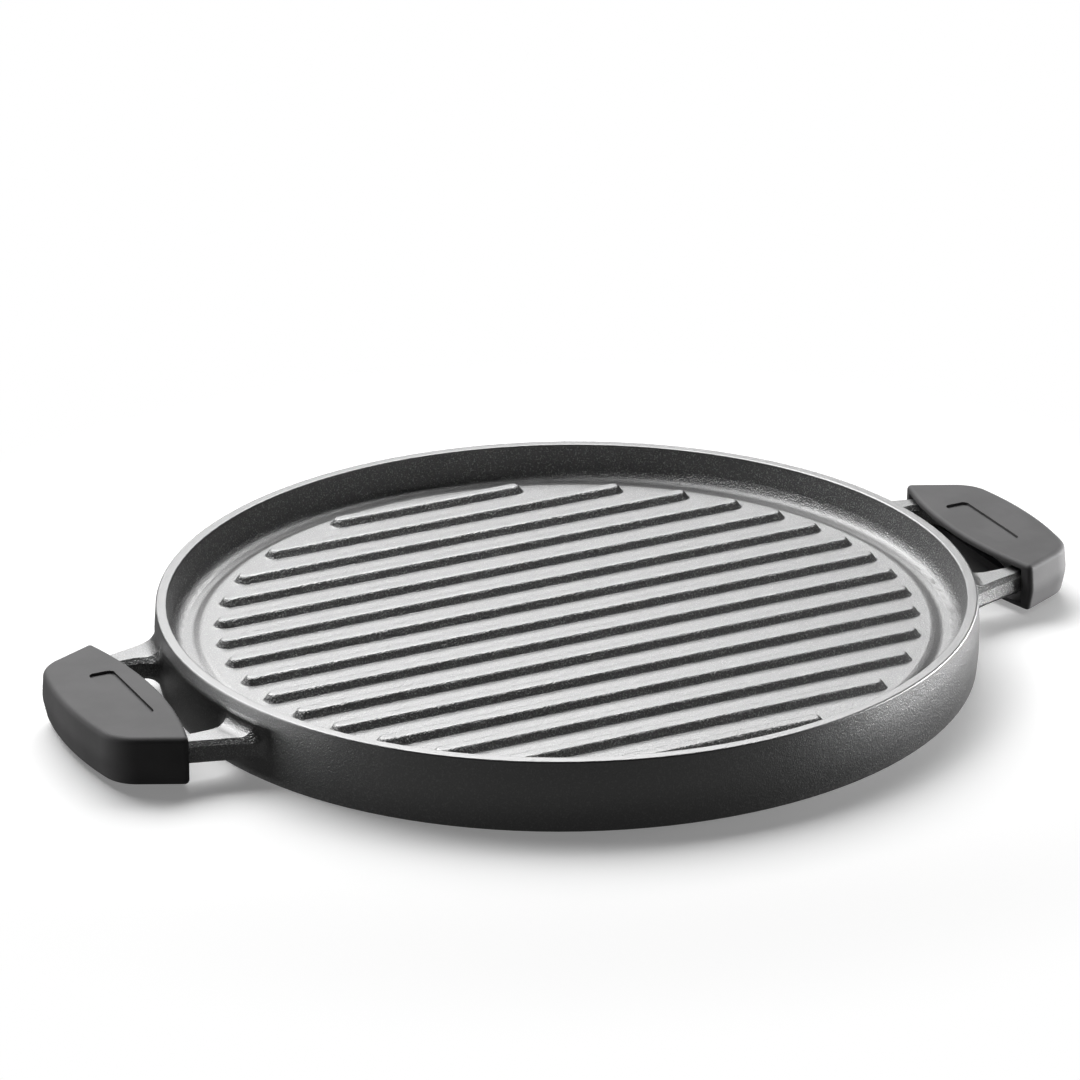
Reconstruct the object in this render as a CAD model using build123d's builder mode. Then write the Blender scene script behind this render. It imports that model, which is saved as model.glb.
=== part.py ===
# Round reversible cast iron griddle: one casting with a smooth face, a ribbed face
# and two loop handles, and two silicone grips that pull off the loops.
# Millimetres. Origin on the resting rim, under the centre. X runs along the handles, Z is up.
import os
from math import atan, degrees, radians, sqrt, tan

from build123d import *

# Pan
rim_diameter = 300.0
rim_width = 4.0
ribbed_depth = 11.7
floor_thickness = 4.0
smooth_depth = 10.8
parting_bulge = 0.8
rim_edge_round = 0.7
inner_wall_draft = 7.0

# Ribbed face
gutter_width = 12.0
gutter_depth = 1.6
gutter_slope_width = 3.0
gutter_corner_round = 5.0
gutter_foot_round = 3.5
plateau_edge_round = 4.0

# Smooth face
smooth_corner_round = 9.0

# Ribs
rib_end_gap = 5.0
rib_pitch = 17.5
rib_height = 2.8
rib_base_width = 7.8
rib_top_width = 4.2
rib_crest_round = 1.6
rib_foot_round = 0.9

# Loop handles, whose offsets are measured outward from the rim
loop_drop = 0.55
loop_thickness = 8.4
loop_chamfer = 1.7
loop_embed = 5.0
loop_root_round = 6.0
arm_root_flare = 9.8
arm_flare_offset = 7.0
arm_spread = 3.0
arm_end_spacing = 84.4
arm_end_offset = 17.5
arm_width = 8.7
bar_corner_inset = 9.2
bar_corner_offset = 35.2
bar_corner_round = 8.0
bar_outer_offset = 43.3
hole_corner_offset = 20.0
hole_outer_offset = 25.0
hole_corner_round = 9.0

# Silicone grips
grip_fit = 0.3
grip_top_cover = 3.7
grip_under_cover = 5.6
grip_outer_wall = 3.3
grip_corner_wall = 7.0
grip_end_wall = 5.2
grip_end_inset = 11.6
grip_inner_offset = 12.0
grip_inner_corner_offset = 18.8
grip_crown_drop = 1.5
grip_top_draft = 4.5
grip_bottom_draft = 11.5
grip_crown_round = 14.0
grip_corner_round = 16.0
grip_trim = 6.0
grip_top_round = 2.2
grip_bottom_round = 1.8
grip_inner_round = 1.6
mouth_wall = 2.3
mouth_setback = 1.5
panel_length = 41.0
panel_width = 9.5
panel_recess = 1.0
panel_offset = 25.0
panel_corner_round = 2.2

# Worked out from the sizes above
rim_radius = rim_diameter / 2
rim_inner_radius = rim_radius - rim_width
plateau_radius = rim_inner_radius - gutter_width
plateau_z = smooth_depth + floor_thickness
overall_height = plateau_z + ribbed_depth
gutter_z = plateau_z - gutter_depth
gutter_foot_radius = plateau_radius + gutter_slope_width
draft_slope = tan(radians(inner_wall_draft))
gutter_wall_radius = rim_inner_radius - draft_slope * (overall_height - gutter_z)
smooth_wall_radius = rim_inner_radius - draft_slope * smooth_depth
arm_flare_spacing = arm_end_spacing + 2 * arm_spread
arm_root_spacing = arm_flare_spacing + 2 * arm_root_flare
bar_corner_spacing = arm_end_spacing - 2 * bar_corner_inset
hole_width = arm_end_spacing - 2 * arm_width
loop_mid_z = overall_height / 2 - loop_drop
loop_base_z = loop_mid_z - loop_thickness / 2
loop_top_z = loop_mid_z + loop_thickness / 2
grip_base_z = loop_base_z - grip_fit - grip_under_cover
grip_top_z = loop_top_z + grip_fit + grip_top_cover
grip_height = grip_top_z - grip_base_z
grip_crown_z = loop_mid_z - grip_crown_drop

os.makedirs("parts", exist_ok=True)


# Pan: one revolved profile, with a tray on each side of a thin floor
with BuildPart() as pan:
    with BuildSketch(Plane.XZ) as profile:
        with BuildLine():
            ThreePointArc(
                (rim_radius, 0),
                (rim_radius + parting_bulge, overall_height / 2),
                (rim_radius, overall_height),
            )
            Polyline(
                (rim_radius, overall_height),
                (rim_inner_radius, overall_height),
                (gutter_wall_radius, gutter_z),
                (gutter_foot_radius, gutter_z),
                (plateau_radius, plateau_z),
                (0, plateau_z),
                (0, smooth_depth),
                (smooth_wall_radius, smooth_depth),
                (rim_inner_radius, 0),
                (rim_radius, 0),
            )
        make_face()
        plateau_corners = profile.vertices().group_by(Axis.Y)[3].sort_by(Axis.X)
        fillet(plateau_corners[-1], plateau_edge_round)
        gutter_corners = profile.vertices().group_by(Axis.Y)[2].sort_by(Axis.X)
        fillet(gutter_corners[-1], gutter_corner_round)
        gutter_corners = profile.vertices().group_by(Axis.Y)[2].sort_by(Axis.X)
        fillet(gutter_corners[0], gutter_foot_round)
        smooth_corners = profile.vertices().group_by(Axis.Y)[1].sort_by(Axis.X)
        fillet(smooth_corners[-1], smooth_corner_round)
        levels = profile.vertices().group_by(Axis.Y)
        fillet(levels[0] + levels[-1], rim_edge_round)
    revolve(axis=Axis.Z)


# Ribs: drafted bars with round ends that stop short of the gutter
rib_taper = degrees(atan((rib_base_width - rib_top_width) / 2 / rib_height))
rib_circle_radius = plateau_radius - rib_end_gap
rib_sides = int((rib_circle_radius - rib_base_width / 2) / rib_pitch)
with BuildPart() as ribs:
    for index in range(-rib_sides, rib_sides + 1):
        rib_y = index * rib_pitch
        rib_length = 2 * sqrt(rib_circle_radius**2 - rib_y**2)
        with BuildSketch(Plane.XY.offset(plateau_z)):
            with Locations((0, rib_y)):
                SlotOverall(rib_length, rib_base_width)
        extrude(amount=rib_height, taper=rib_taper)
    fillet(ribs.edges().group_by(Axis.Z)[-1], rib_crest_round)


def loop_outline():
    """Outer outline of a loop handle, from inside the wall to the end of its bar."""
    embed_radius = rim_radius - loop_embed
    root_y = arm_root_spacing / 2
    root = (sqrt(embed_radius**2 - root_y**2), root_y)
    flare = (rim_radius + arm_flare_offset, arm_flare_spacing / 2)
    arm_end = (rim_radius + arm_end_offset, arm_end_spacing / 2)
    corner = (rim_radius + bar_corner_offset, bar_corner_spacing / 2)
    arm_direction = Vector(*flare) - Vector(*arm_end)
    with BuildSketch(mode=Mode.PRIVATE) as outline:
        with BuildLine():
            ThreePointArc((corner[0], -corner[1]), (rim_radius + bar_outer_offset, 0), corner)
            Polyline(corner, arm_end, flare)
            TangentArc(flare, root, tangent=arm_direction)
            Polyline((corner[0], -corner[1]), (arm_end[0], -arm_end[1]), (flare[0], -flare[1]))
            TangentArc(
                (flare[0], -flare[1]),
                (root[0], -root[1]),
                tangent=(arm_direction.X, -arm_direction.Y),
            )
            ThreePointArc((root[0], -root[1]), (embed_radius, 0), root)
        make_face()
        fillet(outline.vertices().group_by(Axis.X)[-1], bar_corner_round)
    return outline.sketch


def finger_hole():
    """Finger hole between the wall and the bar, with rounded corners."""
    half = hole_width / 2
    wall_x = sqrt(rim_radius**2 - half**2)
    corner_x = rim_radius + hole_corner_offset
    with BuildSketch(mode=Mode.PRIVATE) as hole:
        with BuildLine():
            ThreePointArc((corner_x, -half), (rim_radius + hole_outer_offset, 0), (corner_x, half))
            Line((corner_x, half), (wall_x, half))
            ThreePointArc((wall_x, half), (rim_radius, 0), (wall_x, -half))
            Line((wall_x, -half), (corner_x, -half))
        make_face()
        fillet(hole.vertices(), hole_corner_round)
    return hole.sketch


# Loop handle on the right
with BuildPart() as loop:
    with BuildSketch(Plane.XY.offset(loop_base_z)):
        add(loop_outline())
        add(finger_hole(), mode=Mode.SUBTRACT)
    extrude(amount=loop_thickness)
    loop_levels = loop.edges().group_by(Axis.Z)
    chamfer(loop_levels[0] + loop_levels[-1], loop_chamfer)


# Casting: pan, ribs and both loops in one piece, with rounded roots
with BuildPart() as griddle_casting:
    add(pan.part)
    add(ribs.part)
    plateau = griddle_casting.faces().filter_by(Plane.XY).sort_by(SortBy.AREA)[-2]
    fillet([edge for wire in plateau.inner_wires() for edge in wire.edges()], rib_foot_round)
    add(loop.part)
    fillet(griddle_casting.edges(Select.NEW), loop_root_round)
    add(mirror(loop.part, about=Plane.YZ, mode=Mode.PRIVATE))
    fillet(griddle_casting.edges(Select.NEW), loop_root_round)

griddle_casting.part.label = "griddle_casting"
export_step(griddle_casting.part, "parts/griddle_casting.step")


# Grip on the right loop: a sleeve that is open towards the pan
inner_x = rim_radius + grip_inner_offset
inner_corner_x = rim_radius + grip_inner_corner_offset
inner_corner_y = arm_end_spacing / 2 + grip_fit + grip_end_wall
outer_corner_x = rim_radius + bar_corner_offset + grip_fit + grip_corner_wall
outer_corner_y = inner_corner_y - grip_end_inset
outer_x = rim_radius + bar_outer_offset + grip_fit + grip_outer_wall
end_slope = (inner_corner_y - outer_corner_y) / (outer_corner_x - inner_corner_x)
back_x = inner_x - grip_trim
back_y = inner_corner_y + end_slope * (inner_corner_x - back_x)
slot_base_z = loop_base_z - grip_fit
slot_height = loop_thickness + 2 * grip_fit
mouth_base_z = grip_base_z + mouth_wall
mouth_height = grip_height - 2 * mouth_wall
mouth_end_x = rim_radius + hole_outer_offset - mouth_setback

with BuildPart() as right_grip:
    with BuildSketch(Plane.XY.offset(grip_crown_z)) as plan:
        with BuildLine():
            ThreePointArc(
                (outer_corner_x, -outer_corner_y),
                (outer_x, 0),
                (outer_corner_x, outer_corner_y),
            )
            Polyline(
                (outer_corner_x, outer_corner_y),
                (back_x, back_y),
                (back_x, -back_y),
                (outer_corner_x, -outer_corner_y),
            )
        make_face()
        fillet(plan.vertices().group_by(Axis.X)[-1], grip_corner_round)
    extrude(amount=grip_top_z - grip_crown_z, taper=grip_top_draft)
    extrude(plan.sketch, amount=grip_base_z - grip_crown_z, taper=grip_bottom_draft)
    crown = right_grip.edges().filter_by_position(Axis.Z, grip_crown_z, grip_crown_z)
    fillet(crown, grip_crown_round)
    fillet(right_grip.edges().group_by(Axis.Z)[-1], grip_top_round)
    fillet(right_grip.edges().group_by(Axis.Z)[0], grip_bottom_round)

    # The inner face is trimmed to a shallow arc that bows towards the pan
    with BuildSketch(Plane.XY.offset(grip_base_z)):
        with BuildLine():
            ThreePointArc(
                (inner_corner_x, -inner_corner_y),
                (inner_x, 0),
                (inner_corner_x, inner_corner_y),
            )
            Polyline(
                (inner_corner_x, inner_corner_y),
                (inner_corner_x, 2 * inner_corner_y),
                (rim_radius, 2 * inner_corner_y),
                (rim_radius, -2 * inner_corner_y),
                (inner_corner_x, -2 * inner_corner_y),
                (inner_corner_x, -inner_corner_y),
            )
        make_face()
    extrude(amount=grip_height, mode=Mode.SUBTRACT)
    inner_face = right_grip.faces().sort_by(Axis.X)[0]
    fillet(inner_face.edges(), grip_inner_round)

    # A slot that fits the bar, and a taller mouth in front of it
    with BuildSketch(Plane.XY.offset(slot_base_z)):
        add(loop_outline())
        offset(amount=grip_fit)
    extrude(amount=slot_height, mode=Mode.SUBTRACT)
    with BuildSketch(Plane.XY.offset(mouth_base_z)):
        add(loop_outline())
        offset(amount=grip_fit)
        with Locations((mouth_end_x, 0)):
            Rectangle(
                2 * rim_radius,
                2 * rim_radius,
                align=(Align.MAX, Align.CENTER),
                mode=Mode.INTERSECT,
            )
    extrude(amount=mouth_height, mode=Mode.SUBTRACT)

    # A plain sunk panel in the top
    with BuildSketch(Plane.XY.offset(grip_top_z)):
        with Locations((rim_radius + panel_offset, 0)):
            RectangleRounded(panel_width, panel_length, panel_corner_round)
    extrude(amount=-panel_recess, mode=Mode.SUBTRACT)

right_grip.part.label = "right_grip"
export_step(right_grip.part, "parts/right_grip.step")


# Grip on the left loop: the same sleeve turned half way round
with BuildPart() as left_grip:
    with Locations(Rotation(0, 0, 180)):
        add(right_grip.part)

left_grip.part.label = "left_grip"
export_step(left_grip.part, "parts/left_grip.step")
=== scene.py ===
"""Looks of the reversible cast iron griddle: its finishes, the studio and the camera."""

import logging
import math
from dataclasses import dataclass
from enum import Enum
from typing import Any

import bpy
from mathutils import Matrix, Vector

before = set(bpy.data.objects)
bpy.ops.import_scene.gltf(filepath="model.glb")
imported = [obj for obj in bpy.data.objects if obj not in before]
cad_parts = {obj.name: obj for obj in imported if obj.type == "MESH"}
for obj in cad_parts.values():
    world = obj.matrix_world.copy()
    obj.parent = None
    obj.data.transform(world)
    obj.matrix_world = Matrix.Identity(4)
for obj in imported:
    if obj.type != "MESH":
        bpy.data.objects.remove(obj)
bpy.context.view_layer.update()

log = logging.getLogger("griddle")
MM = 0.001

Colour = tuple[float, float, float, float]
Span = tuple[float, float]


class Part(Enum):
    """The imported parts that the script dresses."""

    CASTING = "griddle_casting"
    LEFT_GRIP = "left_grip"
    RIGHT_GRIP = "right_grip"


class Value:
    """A shader socket that adds its own Math nodes when it is used in a sum."""

    def __init__(self, graph: "Graph", socket: bpy.types.NodeSocket) -> None:
        """Wraps a socket.

        Args:
            graph: The graph that new nodes go into.
            socket: The output socket to wrap.
        """
        self.graph = graph
        self.socket = socket

    def _math(self, operation: str, first: Any, second: Any) -> "Value":
        """Adds one Math node.

        Args:
            operation: Name of the node's operation.
            first: Its first value or socket.
            second: Its second value or socket.

        Returns:
            The node's result.
        """
        return self.graph.node("ShaderNodeMath", {"operation": operation}, {0: first, 1: second})

    def __add__(self, other: Any) -> "Value":
        """Sum of this value and another."""
        return self._math("ADD", self, other)

    __radd__ = __add__

    def __sub__(self, other: Any) -> "Value":
        """This value less another."""
        return self._math("SUBTRACT", self, other)

    def __rsub__(self, other: Any) -> "Value":
        """Another value less this one."""
        return self._math("SUBTRACT", other, self)

    def __mul__(self, other: Any) -> "Value":
        """Product of this value and another."""
        return self._math("MULTIPLY", self, other)

    __rmul__ = __mul__

    def __pow__(self, other: Any) -> "Value":
        """This value raised to a power."""
        return self._math("POWER", self, other)

    def ramp(self, low: float, high: float) -> "Value":
        """Smooth step of this value.

        Args:
            low: Where the result leaves 0. It may lie above high.
            high: Where the result reaches 1.

        Returns:
            The step, from 0 to 1.
        """
        settings = {"interpolation_type": "SMOOTHSTEP"}
        return self.graph.node("ShaderNodeMapRange", settings, {0: self, 1: low, 2: high})


class Graph:
    """The node tree of one material or of the world."""

    def __init__(self, tree: bpy.types.NodeTree) -> None:
        """Empties a node tree and takes it over.

        Args:
            tree: The tree to fill.
        """
        self.tree = tree
        tree.nodes.clear()

    def node(
        self,
        kind: str,
        settings: dict[str, Any] | None = None,
        inputs: dict[int | str, Any] | None = None,
        output: int | str = 0,
    ) -> Value:
        """Adds a node.

        Args:
            kind: The node's type name.
            settings: Properties that are set first.
            inputs: Values or links, by socket number or name.
            output: The output socket that is returned.

        Returns:
            The chosen output.
        """
        made = self.tree.nodes.new(kind)
        for name, setting in (settings or {}).items():
            setattr(made, name, setting)
        for key, value in (inputs or {}).items():
            if isinstance(value, Value):
                self.tree.links.new(value.socket, made.inputs[key])
            else:
                made.inputs[key].default_value = value
        return Value(self, made.outputs[output] if made.outputs else None)

    def place(self) -> Value:
        """Position on the object, in metres."""
        return self.node("ShaderNodeTexCoord", output="Object")

    def facing(self) -> Value:
        """Direction that the surface faces on the object."""
        return self.node("ShaderNodeTexCoord", output="Normal")

    def seen(self) -> Value:
        """1 for a ray from the camera and 0 for any other."""
        return self.node("ShaderNodeLightPath", output="Is Camera Ray")

    def axes(self, vector: Value) -> tuple[Value, Value, Value]:
        """Splits a vector.

        Args:
            vector: The vector to split.

        Returns:
            Its X, Y and Z.
        """
        first = self.node("ShaderNodeSeparateXYZ", inputs={0: vector})
        outputs = first.socket.node.outputs
        return first, Value(self, outputs[1]), Value(self, outputs[2])

    def noise(self, size: float, detail: float) -> Value:
        """Noise over the object.

        Args:
            size: Width of one grain, in metres.
            detail: How many finer layers it has.

        Returns:
            The noise, about 0.5 on average.
        """
        inputs = {"Vector": self.place(), "Scale": 1 / size, "Detail": detail}
        return self.node("ShaderNodeTexNoise", inputs=inputs)

    def blend(self, share: Any, first: Any, second: Any) -> Value:
        """Mixes two colours.

        Args:
            share: How much of the second colour.
            first: The first colour.
            second: The second colour.

        Returns:
            The mixed colour.
        """
        inputs = {0: share, 6: first, 7: second}
        return self.node("ShaderNodeMix", {"data_type": "RGBA"}, inputs, output=2)

    def glow(self, strength: float) -> Value:
        """White light of an even strength."""
        return self.node("ShaderNodeEmission", inputs={"Strength": strength})

    def mix(self, share: Value, first: Value, second: Value) -> Value:
        """Mixes two shaders.

        Args:
            share: How much of the second shader.
            first: The first shader.
            second: The second shader.

        Returns:
            The mixed shader.
        """
        return self.node("ShaderNodeMixShader", inputs={0: share, 1: first, 2: second})

    def finish(self, height: Value, inputs: dict[str, Any]) -> None:
        """Ends a material with a Principled shader over a fine relief.

        Args:
            height: The relief, in metres.
            inputs: The shader's other inputs.
        """
        relief = {"Strength": 1.0, "Distance": 1.0, "Height": height}
        normal = self.node("ShaderNodeBump", inputs=relief)
        surface = self.node("ShaderNodeBsdfPrincipled", inputs={**inputs, "Normal": normal})
        self.node("ShaderNodeOutputMaterial", inputs={"Surface": surface})


def new_material(name: str) -> tuple[bpy.types.Material, Graph]:
    """Makes an empty material.

    Args:
        name: The material's name.

    Returns:
        The material and its graph.
    """
    made = bpy.data.materials.new(name)
    made.use_nodes = True
    return made, Graph(made.node_tree)


def colour(*levels: float) -> Colour:
    """A solid colour from its red, green and blue levels."""
    return (*levels, 1.0)


def grey(level: float) -> Colour:
    """A neutral colour."""
    return colour(level, level, level)


def direction(azimuth: float, elevation: float) -> Vector:
    """Unit vector that points out from the griddle.

    Args:
        azimuth: Degrees from +X towards +Y.
        elevation: Degrees above the floor.

    Returns:
        The vector.
    """
    turn, rise = math.radians(azimuth), math.radians(elevation)
    level = math.cos(rise)
    return Vector((math.cos(turn) * level, math.sin(turn) * level, math.sin(rise)))


@dataclass(frozen=True)
class SeasonedIron:
    """Black seasoned casting: sandy skin, painted glints, an oil film, a smoother rim and wall.

    Level faces have fine grit, and steep ones a coarser grain. Light grey flecks in the base
    colour are painted glints, small on level faces and larger and brighter on steep ones. Each
    span says where a smooth step starts and where it is full.
    """

    name: str = "seasoned_iron"

    # Skin, and painted glints: light flecks in the base colour
    dark: Colour = colour(0.014, 0.014, 0.015)
    light: Colour = colour(0.050, 0.049, 0.050)
    painted_glint: Colour = grey(0.24)
    face_painted_glint: Colour = grey(0.46)
    refraction: float = 2.9
    smooth_roughness: float = 0.36
    rough_roughness: float = 0.48

    # Grain, grit and film
    grain_size: float = 0.62 * MM
    grain_detail: float = 2.0
    grain_height: float = 0.17 * MM
    grit_size: float = 0.34 * MM
    grit_detail: float = 1.0
    grit_height: float = 0.08 * MM
    film_size: float = 38 * MM
    film_detail: float = 3.0
    film_in_colour: float = 0.3
    film_in_roughness: float = 0.4
    speckle_span: Span = (0.42, 0.64)
    # Where the painted glints go, on level faces and on steep ones
    painted_glint_grit_span: Span = (0.58, 0.72)
    painted_glint_grain_span: Span = (0.54, 0.68)

    # Steep faces, by the square of the normal's Z
    steep_span: Span = (0.9, 0.4)
    face_sand: float = 2.2
    face_gloss: float = 0.06

    # Worn rim, smoother wall, and handles that are sandier than the wall
    edge: float = MM
    rim_radius: float = 145.5 * MM
    rim_level: float = 26.0 * MM
    rim_wear: float = 0.85
    wall_radius: float = 149.9 * MM
    wall_wear: float = 0.8
    loop_radius: float = 152.5 * MM
    loop_sand: float = 0.6

    def sand(self, graph: Graph) -> Value:
        """Amount of sand in the skin, which also scales the painted glints.

        Args:
            graph: The material's graph.

        Returns:
            The amount: 1 inside the trays, and less on the rim, wall and handles.
        """
        x, y, z = graph.axes(graph.place())
        radius = (x * x + y * y) ** 0.5
        rim = radius.ramp(self.rim_radius - self.edge, self.rim_radius) * z.ramp(
            self.rim_level - self.edge, self.rim_level
        )
        wall = radius.ramp(self.wall_radius - self.edge, self.wall_radius)
        loop = radius.ramp(self.loop_radius - self.edge, self.loop_radius)
        return (1 - rim * self.rim_wear) * (1 - wall * self.wall_wear * (1 - loop * self.loop_sand))

    def material(self) -> bpy.types.Material:
        """Builds the finish.

        Returns:
            The new material.
        """
        made, graph = new_material(self.name)
        sand = self.sand(graph)
        level = graph.axes(graph.facing())[2]
        steep = (level * level).ramp(*self.steep_span)
        grain = graph.noise(self.grain_size, self.grain_detail)
        grit = graph.noise(self.grit_size, self.grit_detail)
        film = graph.noise(self.film_size, self.film_detail)
        speckle = grain.ramp(*self.speckle_span)
        tone = speckle * (1 - self.film_in_colour) + film * self.film_in_colour
        skin = graph.blend(tone, self.dark, self.light)
        # Painted glints: light flecks in the base colour, brighter on steep faces, in place of
        # sparkle from the lamps
        painted_glint = graph.blend(steep, self.painted_glint, self.face_painted_glint)
        painted_glint_mask = grit.ramp(*self.painted_glint_grit_span) * (1 - steep) + grain.ramp(*self.painted_glint_grain_span) * steep
        spread = self.rough_roughness - self.smooth_roughness
        patches = speckle * (1 - self.film_in_roughness) + film * self.film_in_roughness
        relief = self.grain_height * sand * (1 + steep * self.face_sand)
        graph.finish(
            (grain - 0.5) * relief + grit * self.grit_height,
            {
                # The skin gets the painted glints where the glint mask and the sand allow
                "Base Color": graph.blend(painted_glint_mask * sand, skin, painted_glint),
                "Roughness": self.smooth_roughness + spread * patches - steep * self.face_gloss,
                "IOR": self.refraction,
            },
        )
        return made


@dataclass(frozen=True)
class GripSilicone:
    """Matt charcoal silicone, with a faint grain and dust."""

    name: str = "silicone"
    base: Colour = colour(0.070, 0.069, 0.070)
    dusty: Colour = colour(0.108, 0.106, 0.108)
    grain_size: float = 0.5 * MM
    grain_detail: float = 2.0
    grain_height: float = 0.012 * MM
    grain_in_colour: float = 0.4
    dust_size: float = 22 * MM
    dust_detail: float = 3.0
    dust_span: Span = (0.35, 0.7)
    roughness: float = 0.66
    dust_roughness: float = 0.08

    def material(self) -> bpy.types.Material:
        """Builds the finish.

        Returns:
            The new material.
        """
        made, graph = new_material(self.name)
        cloud = graph.noise(self.dust_size, self.dust_detail)
        grain = graph.noise(self.grain_size, self.grain_detail)
        dust = cloud.ramp(*self.dust_span) * (1 - self.grain_in_colour)
        graph.finish(
            grain * self.grain_height,
            {
                "Base Color": graph.blend(
                    dust + grain * self.grain_in_colour, self.base, self.dusty
                ),
                "Roughness": self.roughness + self.dust_roughness * cloud,
            },
        )
        return made


@dataclass
class Griddle:
    """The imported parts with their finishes."""

    iron: SeasonedIron = SeasonedIron()
    silicone: GripSilicone = GripSilicone()

    def dress(self, part: Part, material: bpy.types.Material) -> bpy.types.Object:
        """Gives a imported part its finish.

        Args:
            part: The part to dress.
            material: Its finish.

        Returns:
            The part's object.
        """
        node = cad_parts[part.value]
        for slot in node.material_slots:
            slot.material = material
        return node

    def build(self) -> list[bpy.types.Object]:
        """Dresses the casting and both grips.

        Returns:
            The dressed objects.
        """
        iron = self.iron.material()
        silicone = self.silicone.material()
        return [
            self.dress(Part.CASTING, iron),
            self.dress(Part.LEFT_GRIP, silicone),
            self.dress(Part.RIGHT_GRIP, silicone),
        ]


@dataclass(frozen=True)
class Softbox:
    """One flat lamp that faces the griddle and that the camera doesn't see.

    The azimuth runs in degrees from +X towards +Y, and the elevation is above the floor.
    """

    name: str
    azimuth: float
    elevation: float
    reach: float
    size: tuple[float, float]
    power: float

    def build(self) -> bpy.types.Object:
        """Hangs the lamp.

        Returns:
            The light.
        """
        data = bpy.data.lights.new(self.name, "AREA")
        data.shape = "RECTANGLE"
        data.size, data.size_y = self.size
        data.energy = self.power
        lamp = bpy.data.objects.new(self.name, data)
        bpy.context.scene.collection.objects.link(lamp)
        out = direction(self.azimuth, self.elevation)
        lamp.location = out * self.reach
        lamp.visible_camera = False
        lamp.rotation_euler = out.to_track_quat("Z", "Y").to_euler()
        return lamp


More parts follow.
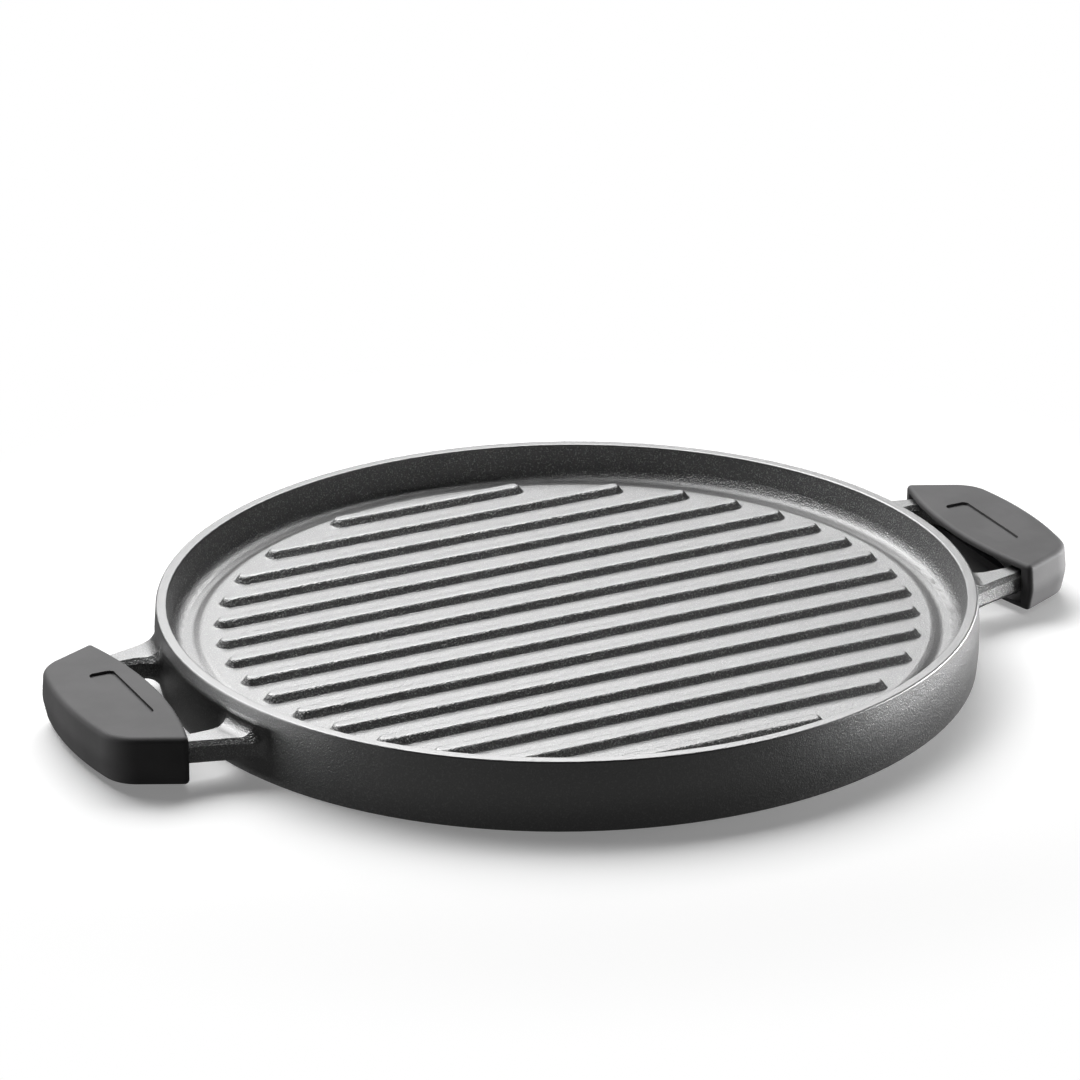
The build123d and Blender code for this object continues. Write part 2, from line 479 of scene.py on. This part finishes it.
@dataclass
class Studio:
    """Pale floor, soft lights and a plain backdrop.

    The strips are lower than the rim, so they light the walls and grips but not the ribbed face.
    """

    # Lamps, in metres, degrees and watts
    back: Softbox = Softbox(
        name="back_softbox", azimuth=88, elevation=50, reach=1.2, size=(1.44, 0.84), power=26
    )
    front: Softbox = Softbox(
        name="front_softbox", azimuth=-32, elevation=32, reach=0.36, size=(0.1, 0.1), power=0.05
    )
    right_strip: Softbox = Softbox(
        name="right_strip", azimuth=-12, elevation=0.9, reach=0.8, size=(0.6, 0.024), power=5.6
    )
    near_strip: Softbox = Softbox(
        name="near_strip", azimuth=-6, elevation=1.9, reach=0.36, size=(0.1, 0.02), power=0.46
    )
    left_strip: Softbox = Softbox(
        name="left_strip", azimuth=158, elevation=0.9, reach=0.8, size=(0.4, 0.024), power=1.4
    )

    # Floor: paper near the griddle turns to plain white between the two distances
    floor_size: float = 8.0
    floor_shade: Colour = grey(0.88)
    floor_glow: float = 0.2
    shadow_reach: float = 0.19
    white_reach: float = 0.31
    white_glow: float = 1.0

    # What the floor and the backdrop give to rays that don't come from the camera
    floor_dim: Colour = grey(0.08)
    floor_bounce: float = 0.055
    fill: float = 0.02

    def floor_material(self) -> bpy.types.Material:
        """Builds the floor's finish, which is clear from below.

        Returns:
            The new material.
        """
        made, graph = new_material("studio_floor")
        card = graph.node("ShaderNodeBsdfDiffuse", inputs={"Color": self.floor_dim})
        dim = graph.node("ShaderNodeAddShader", inputs={0: card, 1: graph.glow(self.floor_bounce)})
        paper = graph.node("ShaderNodeBsdfDiffuse", inputs={"Color": self.floor_shade})
        near = graph.node("ShaderNodeAddShader", inputs={0: paper, 1: graph.glow(self.floor_glow)})
        x, y, _ = graph.axes(graph.place())
        far = ((x * x + y * y) ** 0.5).ramp(self.shadow_reach, self.white_reach)
        pale = graph.mix(far, near, graph.glow(self.white_glow))
        lit = graph.mix(graph.seen(), dim, pale)
        clear = graph.node("ShaderNodeBsdfTransparent")
        behind = graph.node("ShaderNodeNewGeometry", output="Backfacing")
        graph.node("ShaderNodeOutputMaterial", inputs={"Surface": graph.mix(behind, lit, clear)})
        return made

    def floor(self) -> bpy.types.Object:
        """Builds the floor.

        Returns:
            The floor.
        """
        half = self.floor_size / 2
        mesh = bpy.data.meshes.new("studio_floor")
        corners = [(-half, -half, 0), (half, -half, 0), (half, half, 0), (-half, half, 0)]
        mesh.from_pydata(corners, [], [(0, 1, 2, 3)])
        floor = bpy.data.objects.new("studio_floor", mesh)
        bpy.context.scene.collection.objects.link(floor)
        mesh.materials.append(self.floor_material())
        return floor

    def world(self) -> None:
        """Sets a dim fill that the camera sees as white."""
        world = bpy.data.worlds.new("studio")
        bpy.context.scene.world = world
        world.use_nodes = True
        graph = Graph(world.node_tree)
        strength = self.fill + (1 - self.fill) * graph.seen()
        backdrop = {"Color": grey(1.0), "Strength": strength}
        sky = graph.node("ShaderNodeBackground", inputs=backdrop)
        graph.node("ShaderNodeOutputWorld", inputs={"Surface": sky})

    def build(self) -> list[bpy.types.Object]:
        """Builds the floor, the lights and the backdrop.

        Returns:
            The floor and the lights.
        """
        self.world()
        lamps = (self.back, self.front, self.right_strip, self.near_strip, self.left_strip)
        return [self.floor(), *(lamp.build() for lamp in lamps)]


@dataclass
class PhotoCamera:
    """Camera at the photograph's viewing angle.

    The angles are in degrees, and the azimuth runs from +X towards +Y. The offset is from the
    rim's centre, along the camera's own right, up and back.
    """

    azimuth: float = -115.5
    elevation: float = 22.38
    roll: float = -0.66
    lens: float = 181.43
    sensor: float = 36.0
    rim_height: float = 26.5 * MM
    offset: tuple[float, float, float] = (-9.69 * MM, 18.34 * MM, 1989.6 * MM)

    def build(self) -> bpy.types.Object:
        """Makes the scene's camera.

        Returns:
            The camera.
        """
        data = bpy.data.cameras.new("photo_camera")
        data.sensor_width = self.sensor
        data.lens = self.lens
        camera = bpy.data.objects.new("photo_camera", data)
        bpy.context.scene.collection.objects.link(camera)
        back = direction(self.azimuth, self.elevation)
        level = back.to_track_quat("Z", "Y").to_matrix()
        tilted = level @ Matrix.Rotation(math.radians(self.roll), 3, "Z")
        rim_centre = Vector((0, 0, self.rim_height))
        place = Matrix.Translation(rim_centre + tilted @ Vector(self.offset))
        camera.matrix_world = place @ tilted.to_4x4()
        bpy.context.scene.camera = camera
        return camera


def main() -> None:
    """Builds the griddle's looks, the studio and the camera."""
    logging.basicConfig(level=logging.INFO, format="%(name)s: %(message)s")
    bpy.context.scene.view_settings.view_transform = "Standard"
    for piece in Griddle().build():
        log.info("dressed %s", piece.name)
    for piece in Studio().build():
        log.info("placed %s", piece.name)
    log.info("placed %s", PhotoCamera().build().name)


if __name__ == "__main__":
    main()
